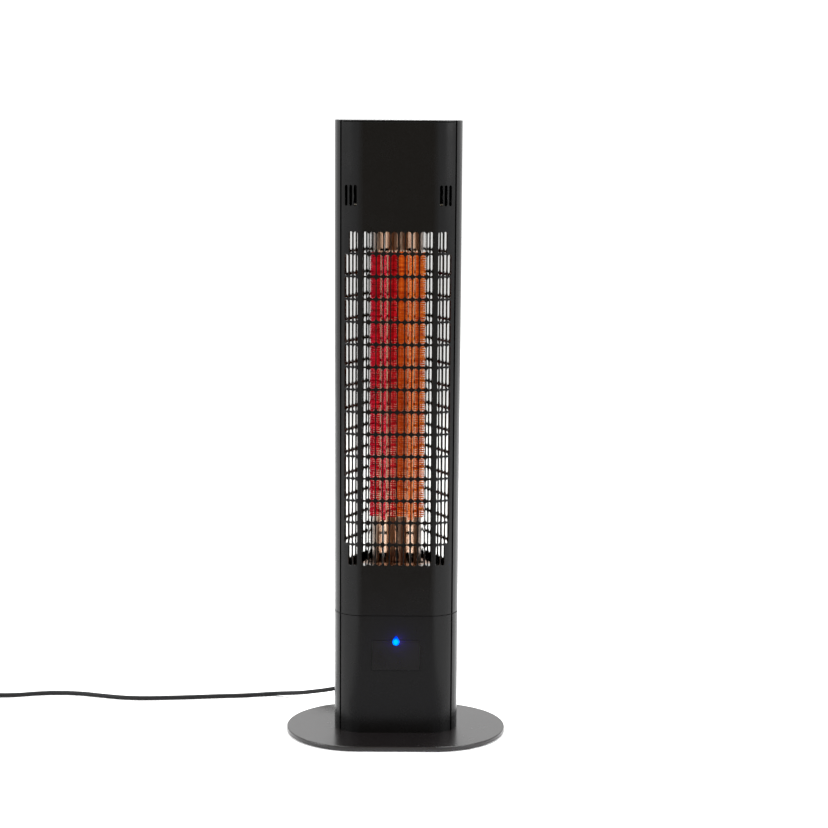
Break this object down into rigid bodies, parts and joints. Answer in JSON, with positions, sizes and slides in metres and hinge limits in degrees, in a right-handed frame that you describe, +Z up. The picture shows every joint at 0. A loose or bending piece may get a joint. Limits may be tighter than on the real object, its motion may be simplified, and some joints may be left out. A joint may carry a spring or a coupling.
{
  "type": "outdoor heater",
  "caption": "Free-standing outdoor column heater: rounded black casing with a perforated guard over lit quartz lamps, press panel with blue light, flat rounded base and mains cord.",
  "frame": {"origin": "centre of the base's underside, on the surface that the heater stands on", "axes": "+Z up along the column, front with the guard faces -Y, +X to the viewer's right"},
  "size_m": [0.9408, 0.2904, 0.96],
  "materials": {
    "base_coat": "satin dark grey powder coat",
    "foot_rubber": "matt",
    "screw_black": "black zinc",
    "zinc_steel": "zinc plated",
    "black_coat": "satin black powder coat",
    "trim_rubber": "matt black seal",
    "cap_gloss": "gloss black",
    "galvanised": "galvanised sheet",
    "ceramic": "unglazed steatite",
    "mirror_alu": "anodised mirror",
    "quartz": "clear quartz",
    "filament_glow": "glowing tungsten",
    "lead_wire": "molybdenum wire",
    "silicone_lead": "braided sleeve",
    "inner_plastic": "moulded nylon",
    "panel_plastic": "satin moulded",
    "spring_steel": "spring wire",
    "board_green": "solder mask",
    "relay_blue": "moulded",
    "led_body": "clear epoxy",
    "lens_blue": "lit lens",
    "white_plastic": "moulded",
    "brass": "plain",
    "cord_jacket": "matt rubber jacket",
    "tie_plastic": "flexible strap",
    "plug_rubber": "moulded rubber",
    "pin_nickel": "nickel plated"
  },
  "bodies": {
    "heater": {"base_plate": "base_coat", "base_feet": "foot_rubber", "base_screws": "screw_black", "foot_bracket": "zinc_steel", "lower_front_cover": "black_coat", "lower_rear_shell": "black_coat", "lower_side_trims": "trim_rubber", "lower_shell_screws": "screw_black", "seam_gasket": "trim_rubber", "upper_front_cover": "black_coat", "upper_rear_shell": "black_coat", "upper_side_trims": "trim_rubber", "upper_shell_screws": "screw_black", "top_cap": "cap_gloss", "cap_gasket": "trim_rubber", "chassis_rails": "galvanised", "divider_plate": "galvanised", "heat_shield": "galvanised", "shield_spacers": "ceramic", "reflector": "mirror_alu", "reflector_end_lower": "mirror_alu", "reflector_end_upper": "mirror_alu", "quartz_tube_left": "quartz", "quartz_tube_right": "quartz", "filament_left": "filament_glow", "filament_right": "filament_glow", "filament_leads": "lead_wire", "lamp_end_caps": "ceramic", "lamp_bracket_lower": "zinc_steel", "lamp_bracket_upper": "zinc_steel", "lamp_leads": "silicone_lead", "thermal_cutout": "inner_plastic", "paddle_pins": "spring_steel", "paddle_springs": "spring_steel", "control_frame": "inner_plastic", "control_board": "board_green", "board_screws": "zinc_steel", "board_parts": "relay_blue", "push_switch": "inner_plastic", "indicator_led": "led_body", "indicator_lens": "lens_blue", "rocker_case": "panel_plastic", "terminal_block": "white_plastic", "terminal_screws": "brass", "tilt_bracket": "zinc_steel", "tilt_pin": "spring_steel", "tilt_microswitch": "inner_plastic", "cord_gland": "inner_plastic", "cord_inner_end": "cord_jacket", "cord_clamp": "inner_plastic", "cord": "cord_jacket", "cord_coil": "cord_jacket", "cord_tail": "cord_jacket", "coil_tie": "tie_plastic", "plug_body": "plug_rubber", "plug_pins": "pin_nickel"},
    "control_paddle": {"control_paddle": "panel_plastic"},
    "power_rocker": {"power_rocker": "panel_plastic"},
    "tilt_pendulum": {"tilt_pendulum": "brass"}
  },
  "joints": [
    {"name": "panel_press", "type": "hinge", "parent": "heater", "child": "control_paddle", "pos_m": [0, -0.0396, 0.1525], "axis": [1, 0, 0], "range_deg": [0, 3.8], "stiffness_Nm_per_rad": 0.25, "springref_deg": -6.88},
    {"name": "mains_rocker", "type": "hinge", "parent": "heater", "child": "power_rocker", "pos_m": [0.012, 0.043, 0.07], "axis": [1, 0, 0], "range_deg": [-18, 0]},
    {"name": "tilt_swing", "type": "hinge", "parent": "heater", "child": "tilt_pendulum", "pos_m": [0.048, -0.007, 0.062], "axis": [1, 0, 0], "range_deg": [-20, 20]}
  ]
}
